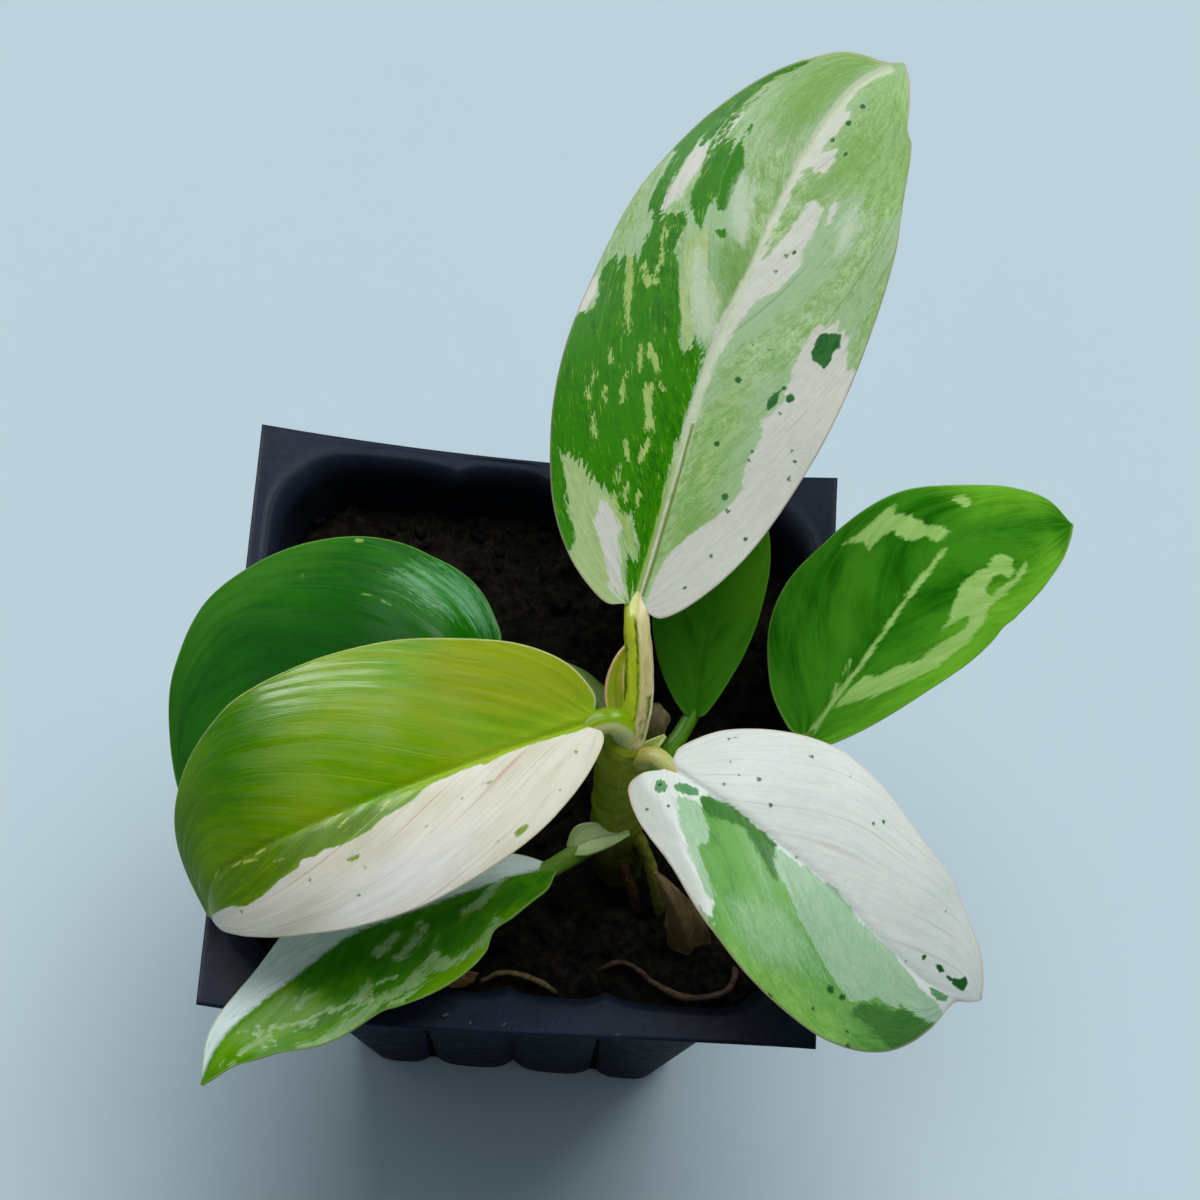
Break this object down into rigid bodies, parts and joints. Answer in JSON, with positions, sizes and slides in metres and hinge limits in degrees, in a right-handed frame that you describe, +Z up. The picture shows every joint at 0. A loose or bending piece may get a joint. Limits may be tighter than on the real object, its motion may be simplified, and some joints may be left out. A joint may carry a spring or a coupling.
{
  "type": "potted variegated philodendron",
  "caption": "Young climbing aroid with cream-and-green variegated leaves on a short stem, rooted in potting mix in a thin black square fluted nursery pot with a flat flange.",
  "frame": {"origin": "centre of the pot's underside, on the surface that the pot stands on", "axes": "+Z up; -Y toward the viewer of the front side, where the folded leaf crosses the rim; +X to the right seen from the front"},
  "size_m": [0.15, 0.1616, 0.1734],
  "materials": {
    "pot_plastic": "thin black thermoformed plastic, satin, dusty",
    "potting_mix": "damp dark bark and peat mix",
    "stem_green": "smooth olive-green living stem",
    "leaf_variegated": "semi-gloss living leaf, bright green with cream and pale grey-green sectors",
    "leaf_cream": "semi-gloss living leaf, cream-white with a green sector",
    "leaf_green": "glossy living leaf, deep green with pale lime flecks",
    "dry_tissue": "dry tan papery plant tissue",
    "root_brown": "matte reddish-brown root"
  },
  "bodies": {
    "root": {"main_stem": "stem_green", "leaf_back_large": "leaf_variegated", "leaf_left_arching": "leaf_variegated", "leaf_front_right": "leaf_cream", "leaf_right_green": "leaf_green", "leaf_left_low": "leaf_green", "leaf_front_left_folded": "leaf_green", "leaf_back_small": "leaf_green", "dry_stub": "dry_tissue", "aerial_root_green": "stem_green", "aerial_root_brown": "root_brown", "surface_root_right": "root_brown", "surface_root_left": "dry_tissue", "dry_cataphyll": "dry_tissue", "bark_chip": "dry_tissue", "potting_mix": "potting_mix", "pot": "pot_plastic"}
  },
  "joints": []
}
